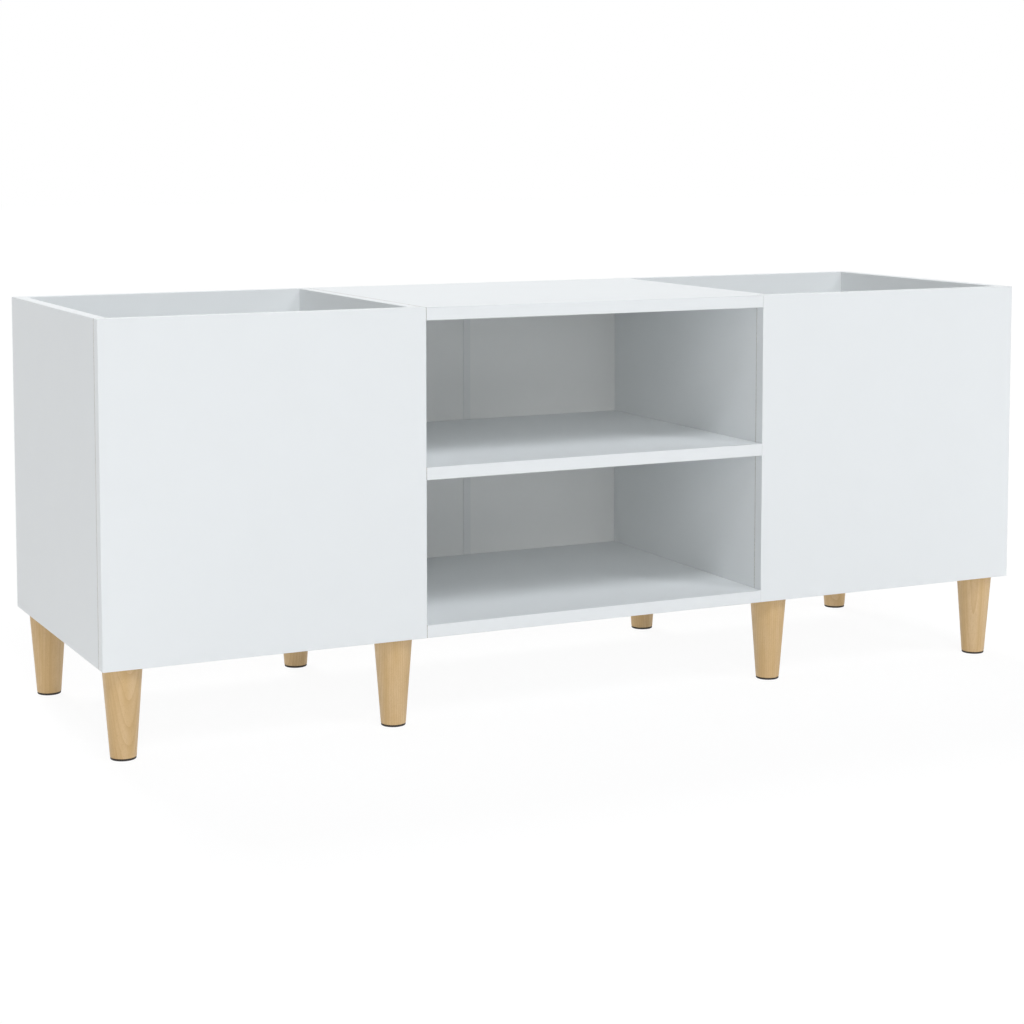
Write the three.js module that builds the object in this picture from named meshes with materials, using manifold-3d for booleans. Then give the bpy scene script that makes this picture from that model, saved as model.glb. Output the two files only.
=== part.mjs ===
// Record cabinet: an open-topped record bin at each end, two open compartments between the bins,
// and eight turned legs. Boards are drawn together by cam fittings and located by glued dowels.
//
// Lengths are in millimetres. The origin is on the floor under the middle of the cabinet,
// with +X to the right of someone facing the front, +Y to the back and +Z up.

import * as THREE from 'three';
import { mergeVertices } from 'three/addons/utils/BufferGeometryUtils.js';
import Module from 'manifold-3d';

const wasm = await Module();
wasm.setup();

// Overall form
const CABINET_WIDTH = 1210;
const CABINET_DEPTH = 380;
const CARCASS_HEIGHT = 380;
const BIN_WIDTH = 380;

// Boards and the thin back
const BOARD_THICKNESS = 15;
const BOARD_ARRIS = 0.6;
const SHEET_THICKNESS = 3;
const SHEET_ARRIS = 0.3;
const SHEET_MARGIN = 1;
const SHEET_REVEAL = 2;
const STRIP_WIDTH = 10;
const STRIP_FLANGE = 0.8;
const STRIP_WEB = 1.6;

// Legs and glides
const LEG_LENGTH = 101.4;
const LEG_TOP_DIAMETER = 44.6;
const LEG_FOOT_DIAMETER = 29;
const LEG_ARRIS = 0.8;
const LEG_INSET = 30;
const GLIDE_THICKNESS = 2.2;
const GLIDE_SETBACK = 0.3;
const GLIDE_EDGE = 0.8;
const GLIDE_PIN_DIAMETER = 3;
const GLIDE_PIN_LENGTH = 14;
const LEG_BOLT_DIAMETER = 8;
const LEG_BOLT_EMBED = 32;
const LEG_BOLT_TIP = 5;
const INSERT_DIAMETER = 12;
const INSERT_FLANGE_DIAMETER = 15;
const INSERT_FLANGE_THICKNESS = 1.2;
const INSERT_SKIN = 2.4;

// Cam fittings and dowels
const CAM_DIAMETER = 15;
const CAM_PAST_BOLT = 4.6;
const CAM_SUNK = 0.3;
const CAM_SETBACK = 34;
const CAM_SLOT_WIDTH = 1.6;
const CAM_SLOT_LENGTH = 8;
const CAM_SLOT_DEPTH = 2.4;
const CAM_BOLT_DIAMETER = 7;
const DOWEL_DIAMETER = 8;
const DOWEL_LENGTH = 30;
const DOWEL_PITCH = 32;
const FITTING_INSET = 50;
const BORE_SKIN = 3.5;
const STAGGER_SHARE = 1.5;

// Clearances and cuts
const HAIRLINE = 0.2;
const FIT = 0.3;
const OVERRUN = 1;

// Facets round a turning
const LEG_SIDES = 24;
const GLIDE_SIDES = 20;
const BOLT_SIDES = 10;
const CAM_SIDES = 12;
const DOWEL_SIDES = 8;

// Levels and spans that follow from the sizes above
const UNDERSIDE = GLIDE_THICKNESS + LEG_LENGTH + 2 * HAIRLINE;
const HALF_WIDTH = CABINET_WIDTH / 2;
const HALF_DEPTH = CABINET_DEPTH / 2;
const CENTRE_HALF_WIDTH = HALF_WIDTH - BIN_WIDTH;
const PANEL_INNER_Y = HALF_DEPTH - BOARD_THICKNESS;
const BIN_INSIDE_HALF_DEPTH = PANEL_INNER_Y - HAIRLINE;
const SHEET_BACK_Y = HALF_DEPTH - STRIP_FLANGE - HAIRLINE;
const SHEET_FRONT_Y = SHEET_BACK_Y - SHEET_THICKNESS;
const STRIP_FRONT_Y = SHEET_FRONT_Y - HAIRLINE - STRIP_FLANGE;
const BORE_DEPTH = BOARD_THICKNESS - BORE_SKIN;
const CENTRE_REACH = HALF_DEPTH - FITTING_INSET;

const RIGHTWARD = new THREE.Vector3(1, 0, 0);
const LEFTWARD = new THREE.Vector3(-1, 0, 0);
const FORWARD = new THREE.Vector3(0, -1, 0);
const BACKWARD = new THREE.Vector3(0, 1, 0);
const UPWARD = new THREE.Vector3(0, 0, 1);
const DOWNWARD = new THREE.Vector3(0, 0, -1);
const AXES = ['x', 'y', 'z'];

// Materials, in the finish of the real pieces
const finish = (color, roughness, metalness = 0) => (
  () => new THREE.MeshStandardMaterial({ color, roughness, metalness })
);
const whiteMelamine = finish(0xe4e8eb, 0.5);
const whiteHardboard = finish(0xdfe3e5, 0.55);
const whitePlastic = finish(0xe6e9eb, 0.4);
const lacqueredBeech = finish(0xc9aa7f, 0.5);
const darkGlide = finish(0x2a2522, 0.8);
const zincSteel = finish(0xb4b6b8, 0.35, 1);
const castZinc = finish(0x9c9ea1, 0.45, 1);

// Closed geometry to and from solids that can be cut and joined
function toSolid(geometry) {
  geometry.deleteAttribute('normal');
  geometry.deleteAttribute('uv');
  const merged = mergeVertices(geometry);
  return new wasm.Manifold(new wasm.Mesh({
    numProp: 3,
    vertProperties: merged.attributes.position.array,
    triVerts: Uint32Array.from(merged.index.array),
  }));
}

function toGeometry(solid) {
  const { vertProperties, triVerts } = solid.getMesh();
  const geometry = new THREE.BufferGeometry();
  geometry.setAttribute('position', new THREE.BufferAttribute(vertProperties, 3));
  geometry.setIndex(new THREE.BufferAttribute(triVerts, 1));
  geometry.computeVertexNormals();
  return geometry;
}

function named(name, geometry, material, position = new THREE.Vector3()) {
  const mesh = new THREE.Mesh(geometry, material);
  mesh.name = name;
  mesh.position.copy(position);
  return mesh;
}

// A straight rod or the cutter of a round hole, from a point along a direction
function rod(start, direction, length, diameter, sides) {
  const geometry = new THREE.CylinderGeometry(diameter / 2, diameter / 2, length, sides);
  geometry.translate(0, length / 2, 0);
  geometry.applyQuaternion(new THREE.Quaternion().setFromUnitVectors(BACKWARD, direction));
  geometry.translate(start.x, start.y, start.z);
  return toSolid(geometry);
}

function bore(mouth, direction, depth, diameter, sides) {
  const start = mouth.clone().addScaledVector(direction, -OVERRUN);
  return rod(start, direction, depth + OVERRUN, diameter + 2 * FIT, sides);
}

// A solid turned about the upright axis from a profile of [radius, height] pairs
function turned(profile, sides) {
  const points = profile.map(([radius, height]) => new THREE.Vector2(radius, height));
  return new THREE.LatheGeometry(points, sides).rotateX(Math.PI / 2);
}

// Boards are laid out first, joined next, and cut last. A board is laid between two opposite
// corners, and keeps what is cut from it and which dowels are glued into it.
function layBoard(name, axis, corner, opposite, material = whiteMelamine, arris = BOARD_ARRIS) {
  const points = [corner, opposite].map((place) => new THREE.Vector3(...place));
  const space = new THREE.Box3().setFromPoints(points);
  const centre = space.getCenter(new THREE.Vector3());
  const size = space.getSize(new THREE.Vector3());
  return { name, axis, centre, size, material, arris, cuts: [], dowels: [] };
}

function easedRectangle(width, height, arris) {
  const right = width / 2;
  const top = height / 2;
  const outline = new THREE.Shape();
  outline.moveTo(arris - right, -top);
  outline.lineTo(right - arris, -top);
  outline.lineTo(right, arris - top);
  outline.lineTo(right, top - arris);
  outline.lineTo(right - arris, top);
  outline.lineTo(arris - right, top);
  outline.lineTo(-right, top - arris);
  outline.lineTo(-right, arris - top);
  return outline;
}

function boardGeometry({ axis, size, arris }) {
  const thick = AXES.indexOf(axis);
  const [across, along] = [AXES[(thick + 1) % 3], AXES[(thick + 2) % 3]];
  const core = size[axis] - 2 * arris;
  const geometry = new THREE.ExtrudeGeometry(easedRectangle(size[across], size[along], arris), {
    depth: core,
    bevelThickness: arris,
    bevelSize: arris,
    bevelOffset: -arris,
    bevelSegments: 1,
  });
  geometry.translate(0, 0, -core / 2);
  const direction = { x: RIGHTWARD, y: BACKWARD, z: UPWARD };
  const turn = new THREE.Matrix4().makeBasis(direction[across], direction[along], direction[axis]);
  return geometry.applyMatrix4(turn);
}

function cutBoard(board) {
  const { x, y, z } = board.centre;
  let solid = toSolid(boardGeometry(board).translate(x, y, z));
  for (const dowel of board.dowels) {
    solid = solid.add(dowel);
  }
  for (const cut of board.cuts) {
    solid = solid.subtract(cut);
  }
  const geometry = toGeometry(solid).translate(-x, -y, -z);
  return named(board.name, geometry, board.material(), board.centre);
}

// One cam fitting is let into the carrying board: a pocket for the cam, open on one face, and a
// channel for its bolt, which screws into the face of the receiving board.
function seatCam(carrier, receiver, end, into, camFace) {
  const axis = end.clone().addScaledVector(into, -CAM_SETBACK);
  const pocketFloor = axis.clone().addScaledVector(camFace, -CAM_PAST_BOLT - FIT);
  const pocketDepth = BOARD_THICKNESS / 2 + CAM_PAST_BOLT + FIT;
  const pocketDiameter = CAM_DIAMETER + 2 * FIT;
  const outOfEnd = into.clone().negate();
  carrier.cuts.push(rod(pocketFloor, camFace, pocketDepth + OVERRUN, pocketDiameter, CAM_SIDES));
  carrier.cuts.push(bore(end, outOfEnd, CAM_SETBACK, CAM_BOLT_DIAMETER, DOWEL_SIDES));
  receiver.cuts.push(bore(end, into, HAIRLINE + BORE_DEPTH, CAM_BOLT_DIAMETER, DOWEL_SIDES));
  return axis;
}

// A dowel is glued into the end of the carrying board and stands out into the receiving board
function seatDowel(carrier, receiver, end, into) {
  const proud = HAIRLINE + BORE_DEPTH - FIT;
  const root = end.clone().addScaledVector(into, proud - DOWEL_LENGTH);
  carrier.dowels.push(rod(root, into, DOWEL_LENGTH, DOWEL_DIAMETER, DOWEL_SIDES));
  receiver.cuts.push(bore(end, into, HAIRLINE + BORE_DEPTH, DOWEL_DIAMETER, DOWEL_SIDES));
}

// The end of one board meets the face of another. Two cam fittings lie at the same reach on both
// sides of the middle of the joint, with a dowel inside each of them.
function join(carrier, receiver, { into, camFace, run, middle, reach }) {
  const end = carrier.size.clone().multiply(into).divideScalar(2).add(carrier.centre);
  const camAxes = [];
  for (const hand of [-1, 1]) {
    end[run] = middle + hand * reach;
    camAxes.push(seatCam(carrier, receiver, end, into, camFace));
    end[run] = middle + hand * (reach - DOWEL_PITCH);
    seatDowel(carrier, receiver, end, into);
  }
  return camAxes;
}

// The boards of one record bin: an outer side panel and a divider between a front and a back
// panel, with a floor set in between all four. Side is -1 for the left bin and 1 for the right.
function layBin(side) {
  const word = side < 0 ? 'left' : 'right';
  const outer = side * HALF_WIDTH;
  const inner = side * CENTRE_HALF_WIDTH;
  const board = side * BOARD_THICKNESS;
  const wall = board + side * HAIRLINE;
  const depth = BIN_INSIDE_HALF_DEPTH;
  const top = CARCASS_HEIGHT;
  const lay = (name, axis, corner, opposite) => layBoard(`${word}_${name}`, axis, corner, opposite);
  return {
    side,
    sidePanel: lay('side_panel', 'x', [outer, -depth, 0], [outer - board, depth, top]),
    divider: lay('divider', 'x', [inner, -depth, 0], [inner + board, depth, top]),
    frontPanel: lay('front_panel', 'y', [outer, -HALF_DEPTH, 0], [inner, -PANEL_INNER_Y, top]),
    backPanel: lay('back_panel', 'y', [outer, PANEL_INNER_Y, 0], [inner, HALF_DEPTH, top]),
    floor: lay('bin_floor', 'z', [outer - wall, -depth, 0], [inner + wall, depth, BOARD_THICKNESS]),
  };
}

// The floor's fittings are staggered past those of the boards on the divider's other face, so
// that no two bores meet inside the divider.
function joinBin({ side, sidePanel, divider, frontPanel, backPanel, floor }) {
  const outward = side < 0 ? LEFTWARD : RIGHTWARD;
  const inward = outward.clone().negate();
  const middle = CARCASS_HEIGHT / 2;
  const corner = { run: 'z', middle, reach: middle - FITTING_INSET };
  for (const [upright, camFace] of [[sidePanel, inward], [divider, outward]]) {
    join(upright, frontPanel, { into: FORWARD, camFace, ...corner });
    join(upright, backPanel, { into: BACKWARD, camFace, ...corner });
  }
  const reach = CENTRE_REACH - STAGGER_SHARE * DOWEL_PITCH;
  const underFloor = { camFace: DOWNWARD, run: 'y', middle: 0, reach };
  join(floor, sidePanel, { into: outward, ...underFloor });
  join(floor, divider, { into: inward, ...underFloor });
}

// Threaded inserts of the legs are let into the underside of the bin floor
function boreForLegs(floor, legPlaces) {
  const sleeveDepth = BOARD_THICKNESS - INSERT_SKIN;
  const flangeDepth = INSERT_FLANGE_THICKNESS + FIT;
  for (const { x, y } of legPlaces) {
    const mouth = new THREE.Vector3(x, y, 0);
    floor.cuts.push(bore(mouth, UPWARD, sleeveDepth, INSERT_DIAMETER, BOLT_SIDES));
    floor.cuts.push(bore(mouth, UPWARD, flangeDepth, INSERT_FLANGE_DIAMETER, BOLT_SIDES));
  }
}

// The three flat boards between the bins, each notched behind for the joining strip of the back
function layCentreBoard(name, underside) {
  const end = CENTRE_HALF_WIDTH - HAIRLINE;
  const rear = SHEET_FRONT_Y - HAIRLINE;
  const upperside = underside + BOARD_THICKNESS;
  const board = layBoard(name, 'z', [-end, -HALF_DEPTH, underside], [end, rear, upperside]);
  const notchDepth = HALF_DEPTH - STRIP_FRONT_Y + FIT;
  const notchHeight = BOARD_THICKNESS + 2 * OVERRUN;
  const notch = new THREE.BoxGeometry(STRIP_WIDTH + 2 * FIT, notchDepth, notchHeight);
  notch.translate(0, HALF_DEPTH - notchDepth / 2, board.centre.z);
  board.cuts.push(toSolid(notch));
  return board;
}

// A cam with a cross slot in its face, locked on the head of its connecting bolt. The bolt
// points along +X and the cam's face looks down.
function camFittingGeometry() {
  const camHeight = BOARD_THICKNESS / 2 - CAM_SUNK + CAM_PAST_BOLT;
  const camTop = new THREE.Vector3(0, 0, CAM_PAST_BOLT);
  const boltLength = CAM_SETBACK + HAIRLINE + BORE_DEPTH - FIT;
  const cam = rod(camTop, DOWNWARD, camHeight, CAM_DIAMETER, CAM_SIDES);
  const bolt = rod(new THREE.Vector3(), RIGHTWARD, boltLength, CAM_BOLT_DIAMETER, DOWEL_SIDES);
  const slotHeight = CAM_SLOT_DEPTH + OVERRUN;
  const slotMiddle = CAM_PAST_BOLT - camHeight + CAM_SLOT_DEPTH - slotHeight / 2;
  const slot = (width, depth) => (
    toSolid(new THREE.BoxGeometry(width, depth, slotHeight).translate(0, 0, slotMiddle))
  );
  return toGeometry(
    cam
      .add(bolt)
      .subtract(slot(CAM_SLOT_LENGTH, CAM_SLOT_WIDTH))
      .subtract(slot(CAM_SLOT_WIDTH, CAM_SLOT_LENGTH)),
  );
}

function joinCentreBoard(board, levelWord, bins) {
  const fittings = [];
  for (const { side, divider } of bins) {
    const into = side < 0 ? LEFTWARD : RIGHTWARD;
    const sideWord = side < 0 ? 'left' : 'right';
    const places = join(board, divider, {
      into, camFace: DOWNWARD, run: 'y', middle: 0, reach: CENTRE_REACH,
    });
    places.forEach((place, index) => {
      const name = `${levelWord}_cam_fitting_${['front', 'rear'][index]}_${sideWord}`;
      const fitting = named(name, camFittingGeometry(), castZinc(), place);
      fitting.rotation.z = side < 0 ? Math.PI : 0;
      fittings.push(fitting);
    });
  }
  return fittings;
}

// The thin back of the compartments: two sheets held by an upright H-section strip
function layBackSheet(side) {
  const name = side < 0 ? 'left_back_sheet' : 'right_back_sheet';
  const outer = side * (CENTRE_HALF_WIDTH - SHEET_MARGIN);
  const inner = side * (STRIP_WEB / 2 + HAIRLINE);
  const top = CARCASS_HEIGHT - SHEET_REVEAL;
  const corner = [outer, SHEET_FRONT_Y, SHEET_REVEAL];
  return layBoard(name, 'y', corner, [inner, SHEET_BACK_Y, top], whiteHardboard, SHEET_ARRIS);
}

function joiningStrip() {
  const web = STRIP_WEB / 2;
  const edge = STRIP_WIDTH / 2;
  const slot = SHEET_THICKNESS / 2 + HAIRLINE;
  const face = slot + STRIP_FLANGE;
  const corners = [
    [-edge, -face], [edge, -face], [edge, -slot], [web, -slot], [web, slot], [edge, slot],
    [edge, face], [-edge, face], [-edge, slot], [-web, slot], [-web, -slot], [-edge, -slot],
  ];
  const section = new THREE.Shape(corners.map(([x, y]) => new THREE.Vector2(x, y)));
  const height = CARCASS_HEIGHT - 2 * SHEET_REVEAL;
  const geometry = new THREE.ExtrudeGeometry(section, { depth: height, bevelEnabled: false });
  const place = new THREE.Vector3(0, (SHEET_FRONT_Y + SHEET_BACK_Y) / 2, SHEET_REVEAL);
  return named('back_joining_strip', geometry, whitePlastic(), place);
}

// A tapered leg with its foot eased, bored above for its bolt and below for its glide's pin
function legGeometry() {
  const foot = LEG_FOOT_DIAMETER / 2;
  const top = LEG_TOP_DIAMETER / 2;
  const pinBore = GLIDE_PIN_DIAMETER / 2 + FIT;
  const boltBore = LEG_BOLT_DIAMETER / 2 + FIT;
  const boltBoreFloor = LEG_LENGTH - LEG_BOLT_EMBED - FIT;
  return turned([
    [0, GLIDE_PIN_LENGTH + FIT],
    [pinBore, GLIDE_PIN_LENGTH + FIT],
    [pinBore, 0],
    [foot - LEG_ARRIS, 0],
    [foot, LEG_ARRIS],
    [top, LEG_LENGTH],
    [boltBore, LEG_LENGTH],
    [boltBore, boltBoreFloor],
    [0, boltBoreFloor],
  ], LEG_SIDES);
}

// A glide with its lower edge eased and a pin driven up into the leg
function glideGeometry() {
  const rim = LEG_FOOT_DIAMETER / 2 - GLIDE_SETBACK;
  const pin = GLIDE_PIN_DIAMETER / 2;
  const pinTip = GLIDE_THICKNESS + HAIRLINE + GLIDE_PIN_LENGTH;
  return turned([
    [0, 0],
    [rim - GLIDE_EDGE, 0],
    [rim, GLIDE_EDGE],
    [rim, GLIDE_THICKNESS],
    [pin, GLIDE_THICKNESS],
    [pin, pinTip - pin],
    [0, pinTip],
  ], GLIDE_SIDES);
}

// A hanger bolt: pointed below, in the leg, and blunt above, in the insert
function legBoltGeometry() {
  const radius = LEG_BOLT_DIAMETER / 2;
  const reach = HAIRLINE + BOARD_THICKNESS - INSERT_SKIN - FIT;
  return turned([
    [0, -LEG_BOLT_EMBED],
    [radius, LEG_BOLT_TIP - LEG_BOLT_EMBED],
    [radius, reach],
    [0, reach],
  ], BOLT_SIDES);
}

// A flanged threaded sleeve, flush with the underside of the bin floor
function insertGeometry() {
  const hole = LEG_BOLT_DIAMETER / 2 + FIT;
  const sleeve = INSERT_DIAMETER / 2;
  const flange = INSERT_FLANGE_DIAMETER / 2;
  const length = BOARD_THICKNESS - INSERT_SKIN - FIT;
  return turned([
    [hole, 0],
    [flange, 0],
    [flange, INSERT_FLANGE_THICKNESS],
    [sleeve, INSERT_FLANGE_THICKNESS],
    [sleeve, length],
    [hole, length],
    [hole, 0],
  ], BOLT_SIDES);
}

// Each bin stands on four legs, at the same inset from all its outer faces
function legPlacesOf(side) {
  const sideWord = side < 0 ? 'left' : 'right';
  const columns = [
    ['outer', side * (HALF_WIDTH - LEG_INSET)],
    ['inner', side * (CENTRE_HALF_WIDTH + LEG_INSET)],
  ];
  const rows = [['front', LEG_INSET - HALF_DEPTH], ['rear', HALF_DEPTH - LEG_INSET]];
  return columns.flatMap(([column, x]) => (
    rows.map(([row, y]) => ({ word: `${row}_${column}_${sideWord}`, x, y }))
  ));
}

function standingLeg({ word, x, y }) {
  const legFoot = new THREE.Vector3(0, 0, GLIDE_THICKNESS + HAIRLINE);
  const legTop = new THREE.Vector3(0, 0, GLIDE_THICKNESS + HAIRLINE + LEG_LENGTH);
  const underside = new THREE.Vector3(0, 0, UNDERSIDE);
  const stand = new THREE.Group();
  stand.position.set(x, y, 0);
  stand.add(
    named(`glide_${word}`, glideGeometry(), darkGlide()),
    named(`leg_${word}`, legGeometry(), lacqueredBeech(), legFoot),
    named(`leg_bolt_${word}`, legBoltGeometry(), zincSteel(), legTop),
    named(`leg_insert_${word}`, insertGeometry(), zincSteel(), underside),
  );
  return stand;
}

// Assembly
const bins = [layBin(-1), layBin(1)];
const centreBoards = [
  ['top', layCentreBoard('top_panel', CARCASS_HEIGHT - BOARD_THICKNESS)],
  ['shelf', layCentreBoard('middle_shelf', (CARCASS_HEIGHT - BOARD_THICKNESS) / 2)],
  ['bottom', layCentreBoard('bottom_panel', 0)],
];
bins.forEach(joinBin);
bins.forEach(({ side, floor }) => boreForLegs(floor, legPlacesOf(side)));
const fittings = centreBoards.flatMap(([word, board]) => joinCentreBoard(board, word, bins));

const carcass = new THREE.Group();
carcass.position.z = UNDERSIDE;
for (const { sidePanel, divider, frontPanel, backPanel, floor } of bins) {
  carcass.add(...[sidePanel, divider, frontPanel, backPanel, floor].map(cutBoard));
}
carcass.add(...centreBoards.map(([, board]) => cutBoard(board)));
carcass.add(...[-1, 1].map((side) => cutBoard(layBackSheet(side))));
carcass.add(joiningStrip(), ...fittings);

const cabinet = new THREE.Group();
cabinet.add(carcass);
for (const { side } of bins) {
  cabinet.add(...legPlacesOf(side).map(standingLeg));
}

export default cabinet;
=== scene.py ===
import math

import bmesh
import bpy
from mathutils import Matrix, Vector


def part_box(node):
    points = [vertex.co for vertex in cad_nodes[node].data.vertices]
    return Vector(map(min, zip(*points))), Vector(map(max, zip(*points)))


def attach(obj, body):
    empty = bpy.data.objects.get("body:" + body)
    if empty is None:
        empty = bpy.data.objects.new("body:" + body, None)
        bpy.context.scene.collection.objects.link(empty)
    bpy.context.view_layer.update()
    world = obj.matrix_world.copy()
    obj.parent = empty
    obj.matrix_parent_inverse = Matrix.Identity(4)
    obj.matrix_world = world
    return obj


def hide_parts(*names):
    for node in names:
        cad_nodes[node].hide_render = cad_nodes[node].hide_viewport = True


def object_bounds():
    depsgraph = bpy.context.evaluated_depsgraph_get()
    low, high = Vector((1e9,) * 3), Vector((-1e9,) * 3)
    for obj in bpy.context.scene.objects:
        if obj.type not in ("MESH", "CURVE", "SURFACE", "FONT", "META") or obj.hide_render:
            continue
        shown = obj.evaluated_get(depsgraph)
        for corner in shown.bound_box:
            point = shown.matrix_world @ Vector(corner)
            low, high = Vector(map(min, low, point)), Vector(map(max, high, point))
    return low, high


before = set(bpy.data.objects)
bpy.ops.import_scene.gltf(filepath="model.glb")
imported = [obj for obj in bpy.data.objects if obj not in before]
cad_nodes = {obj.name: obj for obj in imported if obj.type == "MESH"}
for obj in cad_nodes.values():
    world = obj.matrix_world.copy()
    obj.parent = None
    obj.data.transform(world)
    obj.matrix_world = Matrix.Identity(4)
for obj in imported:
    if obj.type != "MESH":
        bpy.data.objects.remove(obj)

cad_low, cad_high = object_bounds()
scene = bpy.context.scene

# The view. The camera stands left of the cabinet and a little above its top, and looks slightly
# down at it. The small shift keeps the uprights of the cabinet near upright in the picture.
CAMERA_PLACE = (-1.23517, -2.47096, 0.67103)
CAMERA_TURN = math.radians(-26.1153)
CAMERA_TILT = math.radians(4.815)
CAMERA_LENS_MM = 77.68
CAMERA_SHIFT = -0.18

camera_data = bpy.data.cameras.new("camera")
camera_data.lens = CAMERA_LENS_MM
camera_data.shift_y = CAMERA_SHIFT
camera = bpy.data.objects.new("camera", camera_data)
camera.location = CAMERA_PLACE
camera.rotation_euler = (math.pi / 2 - CAMERA_TILT, 0, CAMERA_TURN)
scene.collection.objects.link(camera)
scene.camera = camera
scene.view_settings.view_transform = "Standard"


# The room: a white studio. Three walls glow softly. Wide lamps stand in front, low and high, so
# that the upper boards shade the depth of the compartments, and one lights the tops from behind.
# The two high lamps in front are a touch cooler than the rest.
def linear(sheet_colour):
    """The linear colour of an sRGB hex value."""
    levels = [int(sheet_colour[i:i + 2], 16) / 255 for i in (0, 2, 4)]
    return [c / 12.92 if c <= 0.04045 else ((c + 0.055) / 1.055) ** 2.4 for c in levels] + [1.0]


def add(tree, kind, inputs=None, **settings):
    """Adds a node, sets it up, and fills its inputs with values or with other nodes' outputs."""
    made = tree.nodes.new("ShaderNode" + kind)
    for name, value in settings.items():
        setattr(made, name, value)
    for key, value in (inputs or {}).items():
        if isinstance(value, bpy.types.NodeSocket):
            tree.links.new(value, made.inputs[key])
        else:
            made.inputs[key].default_value = value
    return made


def seen_straight(tree):
    """1 for rays from the camera and for reflections and refractions of what they see, else 0."""
    path = add(tree, "LightPath").outputs
    glossy = add(tree, "Math", {0: path["Is Camera Ray"], 1: path["Is Glossy Ray"]}, operation="MAXIMUM")
    both = {0: glossy.outputs[0], 1: path["Is Transmission Ray"]}
    return add(tree, "Math", both, operation="MAXIMUM").outputs[0]


# Each wall is given by the way to it, and its strength. Each lamp is given by its bearing from the
# front and its height, both in degrees, and then its strength and colour.
WALL_LIGHTS = {(-1, 0, 0): 0.37, (1, 0, 0): 0.2, (0, 1, 0): 0.35}
LAMP_SPREAD = math.radians(16)
LAMPS = {
    (-35, 8): (0.133, "ffffff"),
    (0, 8): (0.115, "ffffff"),
    (-15, 25): (0.44, "ffffff"),
    (35, 40): (0.605, "f8fbff"),
    (-15, 55): (0.76, "f8fbff"),
    (180, 50): (1.18, "ffffff"),
}

world = bpy.data.worlds.new("studio_walls")
world.use_nodes = True
world.node_tree.nodes.clear()
scene.world = world
tree = world.node_tree
towards = add(tree, "TexCoord").outputs["Generated"]
total = 0.0
for wall, strength in WALL_LIGHTS.items():
    facing = add(tree, "VectorMath", {0: towards, 1: wall}, operation="DOT_PRODUCT")
    lit = add(tree, "Math", {0: facing.outputs["Value"], 1: 0.0}, operation="MAXIMUM")
    scaled = {0: lit.outputs[0], 1: strength, 2: total}
    total = add(tree, "Math", scaled, operation="MULTIPLY_ADD").outputs[0]
room = add(tree, "Background", {"Color": linear("ffffff"), "Strength": total})
backdrop = add(tree, "Background", {"Color": linear("ffffff"), "Strength": 1.0})
shown = {0: seen_straight(tree), 1: room.outputs[0], 2: backdrop.outputs[0]}
add(tree, "OutputWorld", {"Surface": add(tree, "MixShader", shown).outputs[0]})

for number, ((turn, height), (strength, colour)) in enumerate(LAMPS.items()):
    lamp_data = bpy.data.lights.new(f"wide_lamp_{number}", "SUN")
    lamp_data.angle = LAMP_SPREAD
    lamp_data.energy = strength
    lamp_data.color = linear(colour)[:3]
    lamp_data.specular_factor = 0.0
    lamp = bpy.data.objects.new(f"wide_lamp_{number}", lamp_data)
    turn, height = math.radians(turn), math.radians(height)
    level = math.cos(height)
    source = Vector((math.sin(turn) * level, -math.cos(turn) * level, math.sin(height)))
    lamp.rotation_euler = source.to_track_quat("Z", "Y").to_euler()
    scene.collection.objects.link(lamp)

# The floor: matt white acrylic, lit a little from below, which bounces light up and carries the
# cabinet's shadow. To the camera most of it is a white a little over the backdrop's, so the lit
# floor runs into the backdrop and the shadow stays faint.
FLOOR_REACH = 20.0
FLOOR_GLOW = 0.08
FLOOR_WHITE = 1.035
FLOOR_WHITE_SHARE = 0.87


def mesh_object(name, bm, materials):
    """Turns a bmesh into an object with these materials."""
    mesh = bpy.data.meshes.new(name)
    bm.to_mesh(mesh)
    bm.free()
    for material in materials:
        mesh.materials.append(material)
    made = bpy.data.objects.new(name, mesh)
    scene.collection.objects.link(made)
    return made


matt_acrylic = bpy.data.materials.new("matt_acrylic_floor")
matt_acrylic.use_nodes = True
matt_acrylic.cycles.emission_sampling = "NONE"
tree = matt_acrylic.node_tree
tree.nodes.clear()
acrylic = add(tree, "BsdfDiffuse", {"Color": linear("f3f3f3")})
glow = add(tree, "Emission", {"Color": linear("ffffff"), "Strength": FLOOR_GLOW})
lit = add(tree, "AddShader", {0: acrylic.outputs[0], 1: glow.outputs[0]})
backdrop = add(tree, "Emission", {"Color": linear("ffffff"), "Strength": FLOOR_WHITE})
white_share = add(tree, "Math", {0: seen_straight(tree), 1: FLOOR_WHITE_SHARE}, operation="MULTIPLY")
mixed = {0: white_share.outputs[0], 1: lit.outputs[0], 2: backdrop.outputs[0]}
add(tree, "OutputMaterial", {"Surface": add(tree, "MixShader", mixed).outputs[0]})

bm = bmesh.new()
bmesh.ops.create_grid(bm, x_segments=2, y_segments=2, size=FLOOR_REACH)
mesh_object("floor", bm, [matt_acrylic])

# The boards: chipboard 15 mm thick, faced on both sides with white melamine paper. A thin white
# band covers their edges and its arrises are rubbed round. An end that is drawn up against another
# board is left as it was sawn, so a joint shows as a fine dark line.
X, Y, Z = range(3)
HAIRLINE = 0.0002
BOARD_ARRIS = 0.0006
ARRIS_STEPS = 3
FACE_LEVEL = 0.999
BOARD_WHITE = "f3f6f7"


def at_size(tree, size, stretch=(1.0, 1.0, 1.0)):
    """Coordinates in which one unit is a real size in metres, longer along stretched axes."""
    place = add(tree, "TexCoord").outputs["Object"]
    scale = [1 / (size * share) for share in stretch]
    return add(tree, "Mapping", {"Vector": place, "Scale": scale}).outputs["Vector"]


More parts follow.
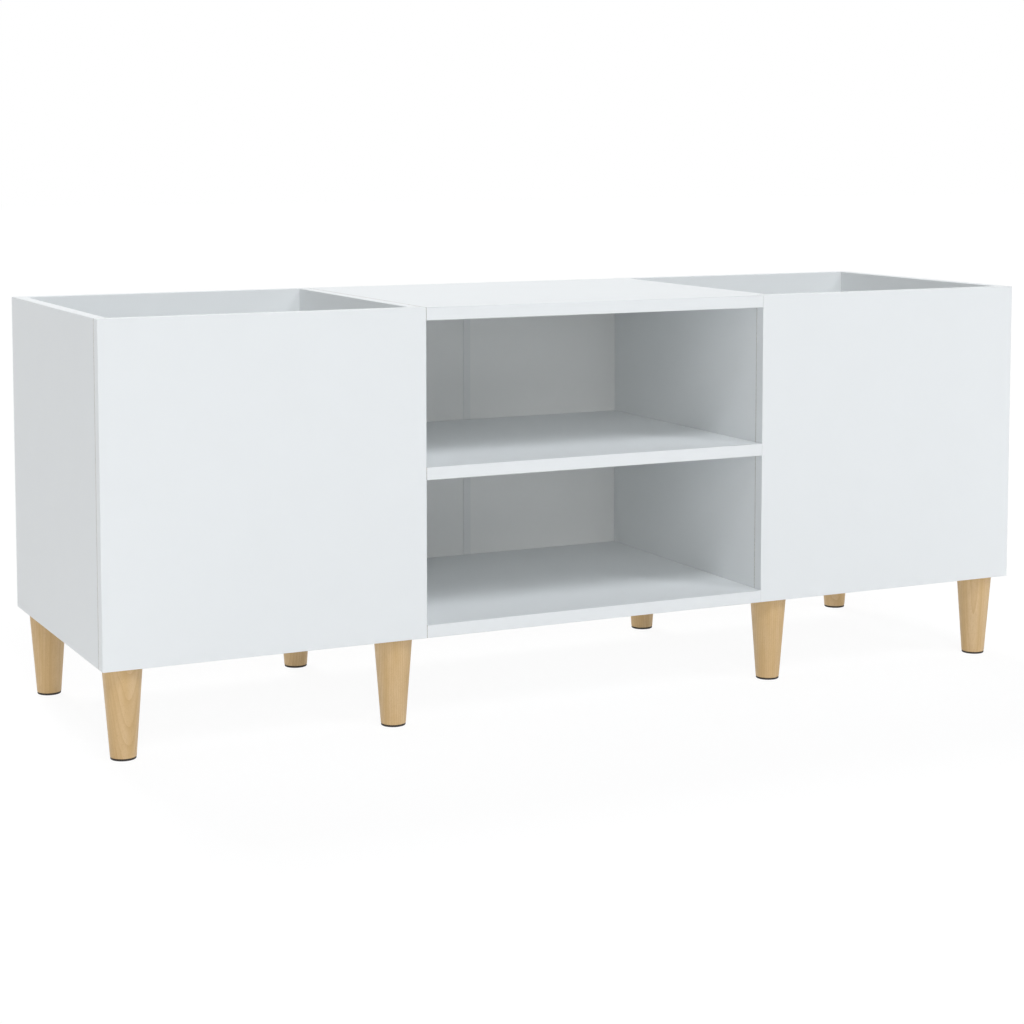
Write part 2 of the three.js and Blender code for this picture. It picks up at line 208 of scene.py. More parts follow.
def new_surface(name, colour, roughness, metallic=0.0, specular=0.5):
    """A material with one Principled shader, and its node tree and shader to build on."""
    made = bpy.data.materials.new(name)
    made.use_nodes = True
    shader = made.node_tree.nodes["Principled BSDF"]
    shader.inputs["Base Color"].default_value = linear(colour)
    shader.inputs["Roughness"].default_value = roughness
    shader.inputs["Metallic"].default_value = metallic
    shader.inputs["Specular IOR Level"].default_value = specular
    return made, made.node_tree, shader


def in_range(tree, value, low, high, source_low=0.0, source_high=1.0):
    """A value moved from one range into another, and held at its ends."""
    given = {
        "Value": value, "From Min": source_low, "From Max": source_high,
        "To Min": low, "To Max": high,
    }
    return add(tree, "MapRange", given).outputs["Result"]


def blended(tree, share, first, second):
    """A colour between two, each an sRGB hex value or another node's output."""
    ends = [linear(c) if isinstance(c, str) else c for c in (first, second)]
    return add(tree, "Mix", {0: share, 6: ends[0], 7: ends[1]}, data_type="RGBA").outputs[2]


def raised(tree, shader, height, depth):
    """Lets a height pattern of a real depth in metres catch the light."""
    bump = add(tree, "Bump", {"Height": height, "Distance": depth})
    tree.links.new(bump.outputs["Normal"], shader.inputs["Normal"])


# Pressed melamine paper gives a satin white. Its pearl of pits, 0.6 mm apart, softens what it
# reflects, and is drawn four times as coarse so that it shows.
PEARL_PITCH = 0.0024
PEARL_DEPTH = 0.000015
CLOUD_SIZE = 0.045
melamine, tree, shader = new_surface("pressed_melamine_paper", BOARD_WHITE, 0.6, specular=0.3)
clouds = add(tree, "TexNoise", {"Vector": at_size(tree, CLOUD_SIZE), "Scale": 1.0, "Detail": 3.0})
tint = blended(tree, clouds.outputs["Fac"], "f2f5f6", "f4f7f8")
tree.links.new(tint, shader.inputs["Base Color"])
gloss = in_range(tree, clouds.outputs["Fac"], 0.56, 0.64)
tree.links.new(gloss, shader.inputs["Roughness"])
pearl = {"Vector": at_size(tree, PEARL_PITCH), "Scale": 1.0}
pearl = add(tree, "TexVoronoi", pearl, feature="SMOOTH_F1").outputs["Distance"]
raised(tree, shader, pearl, PEARL_DEPTH)

# Extruded edge band is the same white and a little glossier, with faint lines along its length.
# They are 0.3 mm apart on the real band, and are drawn twice as coarse so that they show.
BAND_LINE = 0.0006
BAND_DEPTH = 0.00001
edge_band, tree, shader = new_surface("extruded_edge_band", BOARD_WHITE, 0.5, specular=0.3)
lines = {"Vector": at_size(tree, BAND_LINE, (60.0, 60.0, 1.0)), "Scale": 1.0, "Detail": 2.0}
lines = add(tree, "TexNoise", lines).outputs["Fac"]
tree.links.new(in_range(tree, lines, 0.46, 0.54), shader.inputs["Roughness"])
raised(tree, shader, lines, BAND_DEPTH)

# Cut chipboard, at the joined ends and in the bores, is dull and rough, a pressed mix of pale and
# dark chips under 2 mm across.
CHIP_SIZE = 0.0016
CHIP_DEPTH = 0.00015
chipboard, tree, shader = new_surface("cut_chipboard", "ab9f8c", 0.85)
chips = add(tree, "TexVoronoi", {"Vector": at_size(tree, CHIP_SIZE), "Scale": 1.0})
shade = add(tree, "SeparateColor", {"Color": chips.outputs["Color"]}).outputs["Red"]
tree.links.new(blended(tree, shade, "bfb29f", "857866"), shader.inputs["Base Color"])
raised(tree, shader, chips.outputs["Distance"], CHIP_DEPTH)

# Each board is laid out in the space of its node, less the dowels that stand out of its ends.
boards = {}


def lay_board(node, across, dowelled=None):
    """Notes a board's corners, the axis across its faces and the axis of its joined ends."""
    low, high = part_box(node)
    along = None
    if dowelled:
        along, lower_neighbour, upper_neighbour = dowelled
        low[along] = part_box(lower_neighbour)[1][along] + HAIRLINE
        high[along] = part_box(upper_neighbour)[0][along] - HAIRLINE
    cuts = {"wide_cuts": [], "bores": []}
    boards[node] = {"low": low, "high": high, "across": across, "joined": along, **cuts}


BINS = {"left": ("side_panel", "divider"), "right": ("divider", "side_panel")}
for side, (left_wall, right_wall) in BINS.items():
    between_panels = (Y, f"{side}_front_panel", f"{side}_back_panel")
    lay_board(f"{side}_side_panel", X, between_panels)
    lay_board(f"{side}_divider", X, between_panels)
    lay_board(f"{side}_front_panel", Y)
    lay_board(f"{side}_back_panel", Y)
    lay_board(f"{side}_bin_floor", Z, (X, f"{side}_{left_wall}", f"{side}_{right_wall}"))
for node in ("top_panel", "middle_shelf", "bottom_panel"):
    lay_board(node, Z, (X, "left_divider", "right_divider"))

# Where the end of one board meets the face of another, two cam fittings and two dowels hold the
# joint. The cam lies in a pocket in the face of the first board, and its bolt and the dowels run
# on out of the end of that board into the second.
FIT = 0.0003
OVERRUN = 0.001
BORE_DEPTH = 0.0115
CAM_DIAMETER = 0.015
CAM_PAST_BOLT = 0.0046
CAM_SETBACK = 0.034
CAM_BOLT_DIAMETER = 0.007
DOWEL_DIAMETER = 0.008
DOWEL_LENGTH = 0.030
DOWEL_PITCH = 0.032
FITTING_INSET = 0.050
FLOOR_STAGGER = 1.5 * DOWEL_PITCH
cam_seats = {}
dowel_seats = {}


def bore(node, kind, start, end, diameter):
    """Notes a bore in a board, a fit wider than what it takes."""
    boards[node][kind].append((start.copy(), end.copy(), diameter + 2 * FIT))


def join(group, carrier, receiver, into, cam_face, run, middle, reach):
    """Notes the bores of a joint, and the seats of its cams and dowels."""
    low, high = boards[carrier]["low"], boards[carrier]["high"]
    half = (high - low) / 2
    end = (low + high) / 2 + into * abs(half.dot(into))
    for hand in (-1, 1):
        end[run] = middle + hand * reach
        past_end = end + into * OVERRUN
        blind_end = end + into * (HAIRLINE + BORE_DEPTH)
        cam = end - into * CAM_SETBACK
        pocket_floor = cam - cam_face * (CAM_PAST_BOLT + FIT)
        pocket_mouth = cam + cam_face * (abs(half.dot(cam_face)) + OVERRUN)
        bore(carrier, "wide_cuts", pocket_floor, pocket_mouth, CAM_DIAMETER)
        bore(carrier, "bores", cam, past_end, CAM_BOLT_DIAMETER)
        bore(receiver, "bores", end, blind_end, CAM_BOLT_DIAMETER)
        cam_seats.setdefault(group, []).append((cam, into, cam_face))
        end[run] = middle + hand * (reach - DOWEL_PITCH)
        past_end = end + into * OVERRUN
        blind_end = end + into * (HAIRLINE + BORE_DEPTH)
        tip = blind_end - into * FIT
        root = tip - into * DOWEL_LENGTH
        bore(carrier, "bores", root, past_end, DOWEL_DIAMETER)
        bore(receiver, "bores", end, blind_end, DOWEL_DIAMETER)
        dowel_seats.setdefault(group, []).append((root, tip))


down, forward, backward = Vector((0, 0, -1)), Vector((0, -1, 0)), Vector((0, 1, 0))
sideways = {"left": Vector((-1, 0, 0)), "right": Vector((1, 0, 0))}
carcass_low = boards["left_front_panel"]["low"].z
carcass_high = boards["left_front_panel"]["high"].z
middle_height = (carcass_low + carcass_high) / 2
upright_reach = (carcass_high - carcass_low) / 2 - FITTING_INSET
centre_reach = cad_high.y - FITTING_INSET
floor_reach = centre_reach - FLOOR_STAGGER
for side, outward in sideways.items():
    floor = f"{side}_bin_floor"
    for wall, into in (("side_panel", outward), ("divider", -outward)):
        upright = f"{side}_{wall}"
        for panel, way in (("front_panel", forward), ("back_panel", backward)):
            panel = f"{side}_{panel}"
            join(f"{side}_bin", upright, panel, way, -into, Z, middle_height, upright_reach)
        join(f"{side}_bin", floor, upright, into, down, Y, 0.0, floor_reach)
    for board, level in (("top_panel", "top"), ("middle_shelf", "shelf"), ("bottom_panel", "bottom")):
        join(f"{level}_{side}", board, f"{side}_divider", outward, down, Y, 0.0, centre_reach)

# The bin floors take the threaded inserts of the legs.
INSERT_DIAMETER = 0.012
INSERT_DEPTH = 0.0126
INSERT_FLANGE_DIAMETER = 0.015
INSERT_FLANGE_DEPTH = 0.0015
for node in (n for n in cad_nodes if n.startswith("leg_insert")):
    low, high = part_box(node)
    mouth = Vector(((low.x + high.x) / 2, (low.y + high.y) / 2, carcass_low))
    floor = "left_bin_floor" if mouth.x < 0 else "right_bin_floor"
    start = mouth + down * OVERRUN
    bore(floor, "wide_cuts", start, mouth - down * INSERT_FLANGE_DEPTH, INSERT_FLANGE_DIAMETER)
    bore(floor, "bores", start, mouth - down * INSERT_DEPTH, INSERT_DIAMETER)

BORE_SIDES = 32


def round_bar(bm, start, end, diameter):
    """Adds the closed round cutter of a bore."""
    turn = (end - start).to_track_quat("Z", "Y").to_matrix().to_4x4()
    place = Matrix.Translation((start + end) / 2) @ turn
    size = {"radius1": diameter / 2, "radius2": diameter / 2, "depth": (end - start).length}
    made = bmesh.ops.create_cone(bm, cap_ends=True, segments=BORE_SIDES, matrix=place, **size)
    for face in {face for vert in made["verts"] for face in vert.link_faces}:
        face.smooth = len(face.verts) == 4


def square_block(bm, low, high):
    """Adds a closed block between two corners."""
    size = Matrix.Diagonal(high - low).to_4x4()
    bmesh.ops.create_cube(bm, size=1.0, matrix=Matrix.Translation((low + high) / 2) @ size)


def cut_from(piece, cutter):
    """Cuts one object out of another, keeps its material on the cut, and deletes it."""
    cut = piece.modifiers.new("cut", "BOOLEAN")
    cut.object = cutter
    cut.solver = "EXACT"
    cut.material_mode = "TRANSFER"
    bpy.context.view_layer.update()
    shaped = piece.evaluated_get(bpy.context.evaluated_depsgraph_get())
    uncut = piece.data
    piece.data = bpy.data.meshes.new_from_object(shaped)
    piece.modifiers.clear()
    bpy.data.meshes.remove(uncut)
    bpy.data.objects.remove(cutter)


# The strip of the back stands in a shallow notch behind each of the three centre boards.
strip_low, strip_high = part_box("back_joining_strip")


def rub_edges(bm, edges, arris):
    """Rounds edges, and shades the rounds smooth."""
    rounding = {"offset": arris, "segments": ARRIS_STEPS, "profile": 0.5}
    bmesh.ops.bevel(bm, geom=edges, affect="EDGES", **rounding)
    for face in bm.faces:
        face.smooth = not any(abs(part) > FACE_LEVEL for part in face.normal)


def make_board(node, board):
    """Makes a board with its arrises, its bores and the notch for the strip, and hides its node."""
    across, joined = board["across"], board["joined"]
    bm = bmesh.new()
    square_block(bm, board["low"], board["high"])
    rubbed = [
        edge for edge in bm.edges
        if joined is None or edge.verts[0].co[joined] != edge.verts[1].co[joined]
    ]
    rub_edges(bm, rubbed, BOARD_ARRIS)
    for face in bm.faces:
        facing = [abs(part) > FACE_LEVEL for part in face.normal]
        face.material_index = 0 if facing[across] else 1
        if joined is not None and facing[joined]:
            face.material_index = 2
    piece = mesh_object(f"{node}_board", bm, [melamine, edge_band, chipboard])
    for kind in ("wide_cuts", "bores"):
        if board[kind]:
            bm = bmesh.new()
            for start, end, diameter in board[kind]:
                round_bar(bm, start, end, diameter)
            cut_from(piece, mesh_object("cutter", bm, [chipboard]))
    if across == Z and board["low"].x < 0 < board["high"].x:
        bm = bmesh.new()
        notch_low = Vector((strip_low.x - FIT, strip_low.y - FIT, board["low"].z - OVERRUN))
        notch_high = Vector((strip_high.x + FIT, cad_high.y, board["high"].z + OVERRUN))
        square_block(bm, notch_low, notch_high)
        cut_from(piece, mesh_object("cutter", bm, [chipboard]))
    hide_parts(node)
    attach(piece, "root")


for node, board in boards.items():
    make_board(node, board)

# Cam fittings: a die-cast zinc cam locks on the head of a bolt and draws the joint tight. A cross
# slot in its face takes a screwdriver, and the cam lies just below the face of the board.
CAM_HEIGHT = 0.0118
CAM_RIM = 0.0004
CAM_DISH = 0.0003
CAM_SLOT_WIDTH = 0.0016
CAM_SLOT_LENGTH = 0.008
CAM_SLOT_DEPTH = 0.0024
CAM_SIDES = 48
BOLT_NECK_DIAMETER = 0.004
BOLT_HEAD_LENGTH = 0.004
BOLT_NECK_LENGTH = 0.004
SHARP_ANGLE = math.radians(30)


def turn(bm, profile, sides, place=None, flute=0.0):
    """Adds a solid turned about Z from (radius, height) pairs, each second facet cut deeper."""
    place = place or Matrix()
    rings = []
    for radius, height in profile:
        ring = []
        for step in range(sides if radius else 1):
            angle = math.tau * step / sides
            reach = radius - flute * (step % 2) if radius else 0.0
            point = Vector((reach * math.cos(angle), reach * math.sin(angle), height))
            ring.append(bm.verts.new(place @ point))
        rings.append(ring)
    for lower, upper in zip(rings, rings[1:]):
        for step in range(sides):
            corners = [lower[step % len(lower)], lower[(step + 1) % sides % len(lower)]]
            corners += [upper[(step + 1) % sides % len(upper)], upper[step % len(upper)]]
            bm.faces.new(dict.fromkeys(corners))


def soften(piece):
    """Shades a turned piece smooth, apart from its real edges."""
    piece.data.shade_smooth()
    piece.data.set_sharp_from_angle(angle=SHARP_ANGLE)


# Die-cast zinc is a dull, slightly mottled grey metal.
MOTTLE_SIZE = 0.0015
MOTTLE_DEPTH = 0.00004
cast_zinc, tree, shader = new_surface("die_cast_zinc", "a0a2a5", 0.45, metallic=1.0)
mottle = {"Vector": at_size(tree, MOTTLE_SIZE), "Scale": 1.0, "Detail": 3.0}
mottle = add(tree, "TexNoise", mottle).outputs["Fac"]
tree.links.new(blended(tree, mottle, "94969a", "acaeb0"), shader.inputs["Base Color"])
tree.links.new(in_range(tree, mottle, 0.38, 0.54), shader.inputs["Roughness"])
raised(tree, shader, mottle, MOTTLE_DEPTH)

# The cam is turned with its face down, and its cross slot is cut from that face.
cam_radius = CAM_DIAMETER / 2
cam_face = CAM_PAST_BOLT - CAM_HEIGHT
bm = bmesh.new()
turn(bm, [
    (0.0, cam_face + CAM_DISH),
    (cam_radius - 3 * CAM_RIM, cam_face + CAM_DISH),
    (cam_radius - 2 * CAM_RIM, cam_face),
    (cam_radius - CAM_RIM, cam_face),
    (cam_radius, cam_face + CAM_RIM),
    (cam_radius, CAM_PAST_BOLT),
    (0.0, CAM_PAST_BOLT),
], CAM_SIDES)
cam = mesh_object("cam", bm, [cast_zinc])
half_slot = Vector((CAM_SLOT_LENGTH, CAM_SLOT_WIDTH, 0)) / 2
slot_mouth = Vector((0, 0, cam_face - OVERRUN))
slot_floor = Vector((0, 0, cam_face + CAM_SLOT_DEPTH))
for reach in (half_slot, half_slot.yxz):
    bm = bmesh.new()
    square_block(bm, slot_mouth - reach, slot_floor + reach)
    cut_from(cam, mesh_object("cutter", bm, [cast_zinc]))

# Its bolt has a head in the cam, a neck and a long shank.
bolt_radius = CAM_BOLT_DIAMETER / 2
neck_radius = BOLT_NECK_DIAMETER / 2
bolt_length = CAM_SETBACK + HAIRLINE + BORE_DEPTH - FIT
neck_end = BOLT_HEAD_LENGTH + BOLT_NECK_LENGTH
fitting = bmesh.new()
fitting.from_mesh(cam.data)
turn(fitting, [
    (0.0, 0.0),
    (bolt_radius, 0.0),
    (bolt_radius, BOLT_HEAD_LENGTH),
    (neck_radius, BOLT_HEAD_LENGTH),
    (neck_radius, neck_end),
    (bolt_radius, neck_end + bolt_radius - neck_radius),
    (bolt_radius, bolt_length - FIT),
    (bolt_radius - FIT, bolt_length),
    (0.0, bolt_length),
], BORE_SIDES, Vector((1, 0, 0)).to_track_quat("Z", "Y").to_matrix().to_4x4())
fitting_mesh = bpy.data.meshes.new("cam_fitting")
fitting.to_mesh(fitting_mesh)
fitting.free()
bpy.data.objects.remove(cam)

for group, seats in cam_seats.items():
    places = []
    for axis, into, face in seats:
        turned = Matrix((into, (-face).cross(into), -face)).transposed().to_4x4()
        places.append(Matrix.Translation(axis) @ turned)
    if group.endswith("_bin"):
        pieces = {f"{group}_cam_fittings": places}
    else:
        level, side = group.split("_")
        rows = zip(("front", "rear"), places)
        pieces = {f"{level}_cam_fitting_{row}_{side}": [place] for row, place in rows}
    for name, places in pieces.items():
        bm = bmesh.new()
        for place in places:
            single = fitting_mesh.copy()
            single.transform(place)
            bm.from_mesh(single)
            bpy.data.meshes.remove(single)
        piece = mesh_object(f"{name}_zinc", bm, [cast_zinc])
        soften(piece)
        if name in cad_nodes:
            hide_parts(name)
        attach(piece, "root")

# Dowels: fluted beech pins, glued into the board ends to place each joint. Their ends are bevelled
# and their flutes let the glue rise round them.
DOWEL_BEVEL = 0.001
DOWEL_FLUTE = 0.00025
DOWEL_SIDES = 40

# Raw beech is pale and dull, and finely mottled with darker fibres.
RAW_FIBRE = 0.0004
raw_beech, tree, shader = new_surface("raw_beech", "d8bb92", 0.75)
fibres = {"Vector": at_size(tree, RAW_FIBRE), "Scale": 1.0, "Detail": 2.0}
fibres = add(tree, "TexNoise", fibres).outputs["Fac"]
tree.links.new(blended(tree, fibres, "cbab80", "e0c49d"), shader.inputs["Base Color"])

for group, names in {
    "left_bin": ["left_bin"],
    "right_bin": ["right_bin"],
    "centre": [f"{level}_{side}" for level in ("top", "shelf", "bottom") for side in BINS],
}.items():
    bm = bmesh.new()
    for root, tip in (seat for name in names for seat in dowel_seats[name]):
        along = (tip - root).to_track_quat("Z", "Y").to_matrix().to_4x4()
        radius = DOWEL_DIAMETER / 2
        turn(bm, [
            (0.0, 0.0),
            (radius - DOWEL_BEVEL / 2, 0.0),
            (radius, DOWEL_BEVEL),
            (radius, DOWEL_LENGTH - DOWEL_BEVEL),
            (radius - DOWEL_BEVEL / 2, DOWEL_LENGTH),
            (0.0, DOWEL_LENGTH),
        ], DOWEL_SIDES, Matrix.Translation(root) @ along, DOWEL_FLUTE)
    piece = mesh_object(f"{group}_dowels", bm, [raw_beech])
    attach(piece, "root")

# The back of the compartments: two sheets of 3 mm hardboard that an H-section strip joins. The
# sheets are lacquered white in front and left raw behind.
SHEET_ARRIS = 0.0003
SHEET_PLAY = 0.00005

# Roller-coated lacquer is a flat white with a slight orange peel. Raw hardboard is brown, from
# pressed wood fibres about 1 mm long with darker specks of bark.
PEEL_SIZE = 0.003
FIBRE_SIZE = 0.0012
SPECK_SIZE = 0.004
RELIEF_DEPTH = 0.00004
LACQUER_REACH = 0.0004
LACQUER_WHITE = "f7f8f7"
lacquer_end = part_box("left_back_sheet")[0].y + LACQUER_REACH
lacquered_hardboard, tree, shader = new_surface("lacquered_hardboard", LACQUER_WHITE, 0.55)
across = add(tree, "SeparateXYZ", {"Vector": add(tree, "TexCoord").outputs["Object"]}).outputs["Y"]
raw = add(tree, "Math", {0: across, 1: lacquer_end}, operation="GREATER_THAN").outputs[0]
fibre = {"Vector": at_size(tree, FIBRE_SIZE, (1.0, 1.0, 1.6)), "Scale": 1.0, "Detail": 4.0}
fibre = add(tree, "TexNoise", {**fibre, "Roughness": 0.7}).outputs["Fac"]
speck = {"Vector": at_size(tree, SPECK_SIZE), "Scale": 1.0}
speck = add(tree, "TexVoronoi", speck).outputs["Distance"]
speck = in_range(tree, speck, 1.0, 0.0, 0.08, 0.2)
brown = blended(tree, in_range(tree, fibre, 0.0, 1.0, 0.3, 0.7), "8a6641", "b08c62")
brown = blended(tree, speck, brown, "6c4c2e")
tree.links.new(blended(tree, raw, LACQUER_WHITE, brown), shader.inputs["Base Color"])
tree.links.new(in_range(tree, raw, 0.55, 0.8), shader.inputs["Roughness"])
peel = {"Vector": at_size(tree, PEEL_SIZE), "Scale": 1.0, "Detail": 1.0}
peel = add(tree, "TexNoise", peel).outputs["Fac"]
relief = add(tree, "Mix", {0: raw, 2: peel, 3: fibre}, data_type="FLOAT").outputs[0]
raised(tree, shader, relief, RELIEF_DEPTH)

# Each sheet reaches to within a hair of the back panel of its bin, so that no light shows past it.
for side in BINS:
    low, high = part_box(f"{side}_back_sheet")
    if side == "left":
        low.x = boards["left_back_panel"]["high"].x + SHEET_PLAY
    else:
        high.x = boards["right_back_panel"]["low"].x - SHEET_PLAY
    bm = bmesh.new()
    square_block(bm, low, high)
    rub_edges(bm, bm.edges[:], SHEET_ARRIS)
    piece = mesh_object(f"{side}_back_sheet_hardboard", bm, [lacquered_hardboard])
    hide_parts(f"{side}_back_sheet")
    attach(piece, "root")

# Extruded white plastic has a slight sheen and faint draw lines along the strip.
DRAW_LINE = 0.0005
DRAW_DEPTH = 0.00001
white_plastic, tree, shader = new_surface("extruded_white_plastic", "eff1f1", 0.42)
draw = {"Vector": at_size(tree, DRAW_LINE, (1.0, 1.0, 200.0)), "Scale": 1.0, "Detail": 2.0}
draw = add(tree, "TexNoise", draw).outputs["Fac"]
tree.links.new(in_range(tree, draw, 0.36, 0.48), shader.inputs["Roughness"])
raised(tree, shader, draw, DRAW_DEPTH)


def on_node(node, material):
    """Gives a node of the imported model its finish."""
    for slot in cad_nodes[node].material_slots:
        slot.material = material


on_node("back_joining_strip", white_plastic)

# Nails: each sheet is nailed through to the rear edge of the three centre boards. The heads are
# small, flat and zinc-plated, and lie on the raw side of the sheet.
NAIL_HEAD_DIAMETER = 0.0028
NAIL_HEAD_THICKNESS = 0.0006
NAIL_DIAMETER = 0.0014
NAIL_LENGTH = 0.018
NAIL_COLUMNS = (0.020, 0.084, 0.148, 0.212)
NAIL_SIDES = 24

# Bright zinc plating on steel is a light grey metal with a slight haze.
HAZE_SIZE = 0.002
zinc_steel, tree, shader = new_surface("zinc_plated_steel", "c3c6c9", 0.3, metallic=1.0)
haze = {"Vector": at_size(tree, HAZE_SIZE), "Scale": 1.0, "Detail": 3.0}
haze = add(tree, "TexNoise", haze).outputs["Fac"]
tree.links.new(blended(tree, haze, "b9bcc0", "ccced1"), shader.inputs["Base Color"])
tree.links.new(in_range(tree, haze, 0.24, 0.4), shader.inputs["Roughness"])

sheet_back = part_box("left_back_sheet")[1].y
for side, hand in (("left", -1), ("right", 1)):
    bm = bmesh.new()
    for node in ("top_panel", "middle_shelf", "bottom_panel"):
        level = (boards[node]["low"].z + boards[node]["high"].z) / 2
        for column in NAIL_COLUMNS:
            head = Matrix.Translation((hand * column, sheet_back, level))
            turn(bm, [
                (0.0, -NAIL_LENGTH),
                (NAIL_DIAMETER / 2, NAIL_DIAMETER - NAIL_LENGTH),
                (NAIL_DIAMETER / 2, 0.0),
                (NAIL_HEAD_DIAMETER / 2, 0.0),
                (NAIL_HEAD_DIAMETER / 2, NAIL_HEAD_THICKNESS / 2),
                (NAIL_HEAD_DIAMETER / 2 - NAIL_HEAD_THICKNESS / 2, NAIL_HEAD_THICKNESS),
                (0.0, NAIL_HEAD_THICKNESS),
            ], NAIL_SIDES, head @ backward.to_track_quat("Z", "Y").to_matrix().to_4x4())
    piece = mesh_object(f"{side}_back_nails", bm, [zinc_steel])
    soften(piece)
    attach(piece, "root")

# Legs: turned from solid beech to a plain taper, eased at the foot and sealed with clear matt
# lacquer. Each is bored for a hanger bolt above and for the pin of its glide below.
LEG_FOOT_DIAMETER = 0.029
LEG_ARRIS = 0.0008
LEG_SIDES = 128
ARC_STEPS = 5
LEG_BOLT_BORE = 0.0086
LEG_BOLT_BORE_DEPTH = 0.0323
PIN_BORE = 0.0036
PIN_BORE_DEPTH = 0.0143

# Lacquered beech is a warm pale tan with a soft sheen. Its growth rings are 2 to 3 mm apart and
# low in contrast, its fibres run up the leg, and short dark flecks 2 to 3 mm long lie in them.
# Fibres and flecks are under 0.3 mm across, and are drawn twice as coarse so that they show.
RING_PITCH = 0.0026
RING_LEAN = 0.06
WANDER_SIZE = 0.03
WANDER_RINGS = 1.6
FIBRE_WIDTH = 0.0007
FIBRE_DEPTH = 0.00003
FLECK_WIDTH = 0.0006
TONE_SIZE = 0.012
lacquered_beech, tree, shader = new_surface("lacquered_beech", "dbbc8b", 0.5)
wander = {"Vector": at_size(tree, WANDER_SIZE, (1.0, 1.0, 4.0)), "Scale": 1.0, "Detail": 2.0}
wander = add(tree, "TexNoise", wander).outputs["Fac"]
from_heart = {"Vector": add(tree, "TexCoord").outputs["Object"], "Scale": (1.0, 1.0, RING_LEAN)}
from_heart = add(tree, "Mapping", from_heart).outputs["Vector"]
reach = add(tree, "VectorMath", {0: from_heart}, operation="LENGTH").outputs["Value"]
rings = add(tree, "Math", {0: reach, 1: RING_PITCH}, operation="DIVIDE").outputs[0]
wandering = {0: wander, 1: WANDER_RINGS, 2: rings}
rings = add(tree, "Math", wandering, operation="MULTIPLY_ADD").outputs[0]
season = add(tree, "Math", {0: rings}, operation="FRACT").outputs[0]
late_wood = add(tree, "Math", {0: season, 1: 3.0}, operation="POWER").outputs[0]
fibre = {"Vector": at_size(tree, FIBRE_WIDTH, (1.0, 1.0, 45.0)), "Scale": 1.0, "Detail": 3.0}
fibre = add(tree, "TexNoise", fibre).outputs["Fac"]
tone = {"Vector": at_size(tree, TONE_SIZE, (1.0, 1.0, 12.0)), "Scale": 1.0, "Detail": 1.0}
tone = add(tree, "TexNoise", tone).outputs["Fac"]
fleck = {"Vector": at_size(tree, FLECK_WIDTH, (1.0, 1.0, 5.0)), "Scale": 1.0}
fleck = add(tree, "TexVoronoi", fleck).outputs["Distance"]
fleck = in_range(tree, fleck, 0.5, 0.0, 0.1, 0.3)
wood = blended(tree, in_range(tree, tone, 0.0, 1.0, 0.35, 0.65), "d9b783", "e2c396")
wood = blended(tree, in_range(tree, late_wood, 0.0, 0.45), wood, "c8a16a")
wood = blended(tree, in_range(tree, fibre, 0.0, 0.35, 0.45, 0.7), wood, "cea974")
wood = blended(tree, fleck, wood, "b28856")
tree.links.new(wood, shader.inputs["Base Color"])
tree.links.new(in_range(tree, fibre, 0.46, 0.56, 0.3, 0.7), shader.inputs["Roughness"])
raised(tree, shader, fibre, FIBRE_DEPTH)

# The end grain of the same wood, seen where the leg is cut off, is darker and has no sheen.
end_grain, tree, shader = new_surface("beech_end_grain", "b08a5c", 0.7)
pores = {"Vector": at_size(tree, FLECK_WIDTH), "Scale": 1.0}
pores = add(tree, "TexVoronoi", pores).outputs["Distance"]
tree.links.new(blended(tree, pores, "9a744a", "bb9668"), shader.inputs["Base Color"])

# The legs come from different places round the heart of a log and along it, so that each shows
# its own grain.
HEART_DISTANCE = 0.058
HEART_TURN = math.radians(137.5)
LOG_STEP = 0.15


def quarter_arc(radius, height, arris):
    """(radius, height) pairs that round the lower edge of a turned solid."""
    points = []
    for step in range(ARC_STEPS + 1):
        angle = math.pi / 2 * step / ARC_STEPS
        out = radius - arris + arris * math.sin(angle)
        points.append((out, height + arris - arris * math.cos(angle)))
    return points


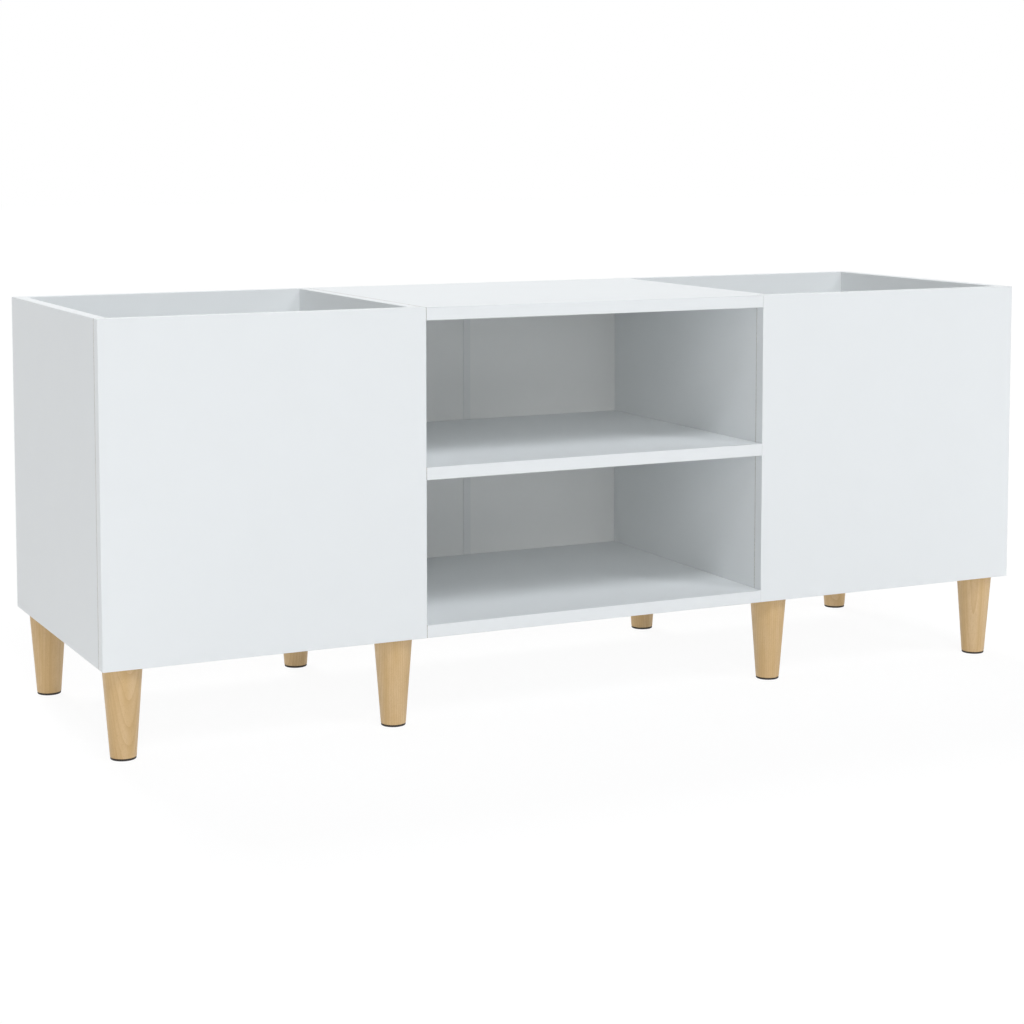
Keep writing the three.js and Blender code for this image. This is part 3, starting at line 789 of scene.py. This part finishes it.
leg_nodes = [n for n in cad_nodes if n.startswith(("leg_front", "leg_rear"))]
for number, node in enumerate(sorted(leg_nodes)):
    low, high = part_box(node)
    turned_by = number * HEART_TURN
    heart_side = Vector((math.cos(turned_by), math.sin(turned_by), 0)) * HEART_DISTANCE
    in_log = heart_side + Vector((0, 0, number * LOG_STEP))
    height = high.z - low.z
    bm = bmesh.new()
    profile = [
        (0.0, PIN_BORE_DEPTH),
        (PIN_BORE / 2, PIN_BORE_DEPTH),
        (PIN_BORE / 2, 0.0),
        *quarter_arc(LEG_FOOT_DIAMETER / 2, 0.0, LEG_ARRIS),
        ((high.x - low.x) / 2, height),
        (LEG_BOLT_BORE / 2, height),
        (LEG_BOLT_BORE / 2, height - LEG_BOLT_BORE_DEPTH),
        (0.0, height - LEG_BOLT_BORE_DEPTH),
    ]
    turn(bm, profile, LEG_SIDES, Matrix.Translation(in_log))
    bm.normal_update()
    for face in bm.faces:
        face.material_index = int(abs(face.normal.z) > FACE_LEVEL)
    piece = mesh_object(f"{node}_turned", bm, [lacquered_beech, end_grain])
    soften(piece)
    piece.location = Vector(((low.x + high.x) / 2, (low.y + high.y) / 2, low.z)) - in_log
    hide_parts(node)
    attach(piece, "root")

# Hanger bolts and threaded inserts: steel with bright zinc plating. Each bolt is driven into its
# leg and turned into an insert that lies flush in the underside of a bin floor.
for node in cad_nodes:
    if node.startswith(("leg_bolt", "leg_insert")):
        on_node(node, zinc_steel)

# Glides: moulded dark brown plastic discs that keep the end grain off the floor. Each has a
# rounded lower edge and a pin that is driven up into the leg.
GLIDE_EDGE = 0.0008
GLIDE_RIM_EASE = 0.0003
GLIDE_THICKNESS = 0.0022
GLIDE_PIN_DIAMETER = 0.003
GLIDE_SIDES = 96

# Moulded polyethylene is near black and dull. Its fine spark-eroded grain of 0.4 mm comes from the
# mould, and is drawn twice as coarse so that it shows.
MOULD_GRAIN = 0.0008
MOULD_DEPTH = 0.00003
dark_plastic, tree, shader = new_surface("moulded_dark_plastic", "2a2420", 0.6)
grain = {"Vector": at_size(tree, MOULD_GRAIN), "Scale": 1.0, "Detail": 2.0}
grain = add(tree, "TexNoise", grain).outputs["Fac"]
tree.links.new(blended(tree, grain, "241f1c", "332c27"), shader.inputs["Base Color"])
tree.links.new(in_range(tree, grain, 0.5, 0.7), shader.inputs["Roughness"])
raised(tree, shader, grain, MOULD_DEPTH)

for node in (n for n in cad_nodes if n.startswith("glide")):
    low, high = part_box(node)
    rim = (high.x - low.x) / 2
    pin = GLIDE_PIN_DIAMETER / 2
    bm = bmesh.new()
    turn(bm, [
        (0.0, 0.0),
        *quarter_arc(rim, 0.0, GLIDE_EDGE),
        (rim, GLIDE_THICKNESS - GLIDE_RIM_EASE),
        (rim - GLIDE_RIM_EASE, GLIDE_THICKNESS),
        (pin, GLIDE_THICKNESS),
        (pin, high.z - pin),
        (0.0, high.z),
    ], GLIDE_SIDES)
    piece = mesh_object(f"{node}_moulded", bm, [dark_plastic])
    soften(piece)
    piece.location = ((low.x + high.x) / 2, (low.y + high.y) / 2, low.z)
    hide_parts(node)
    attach(piece, "root")
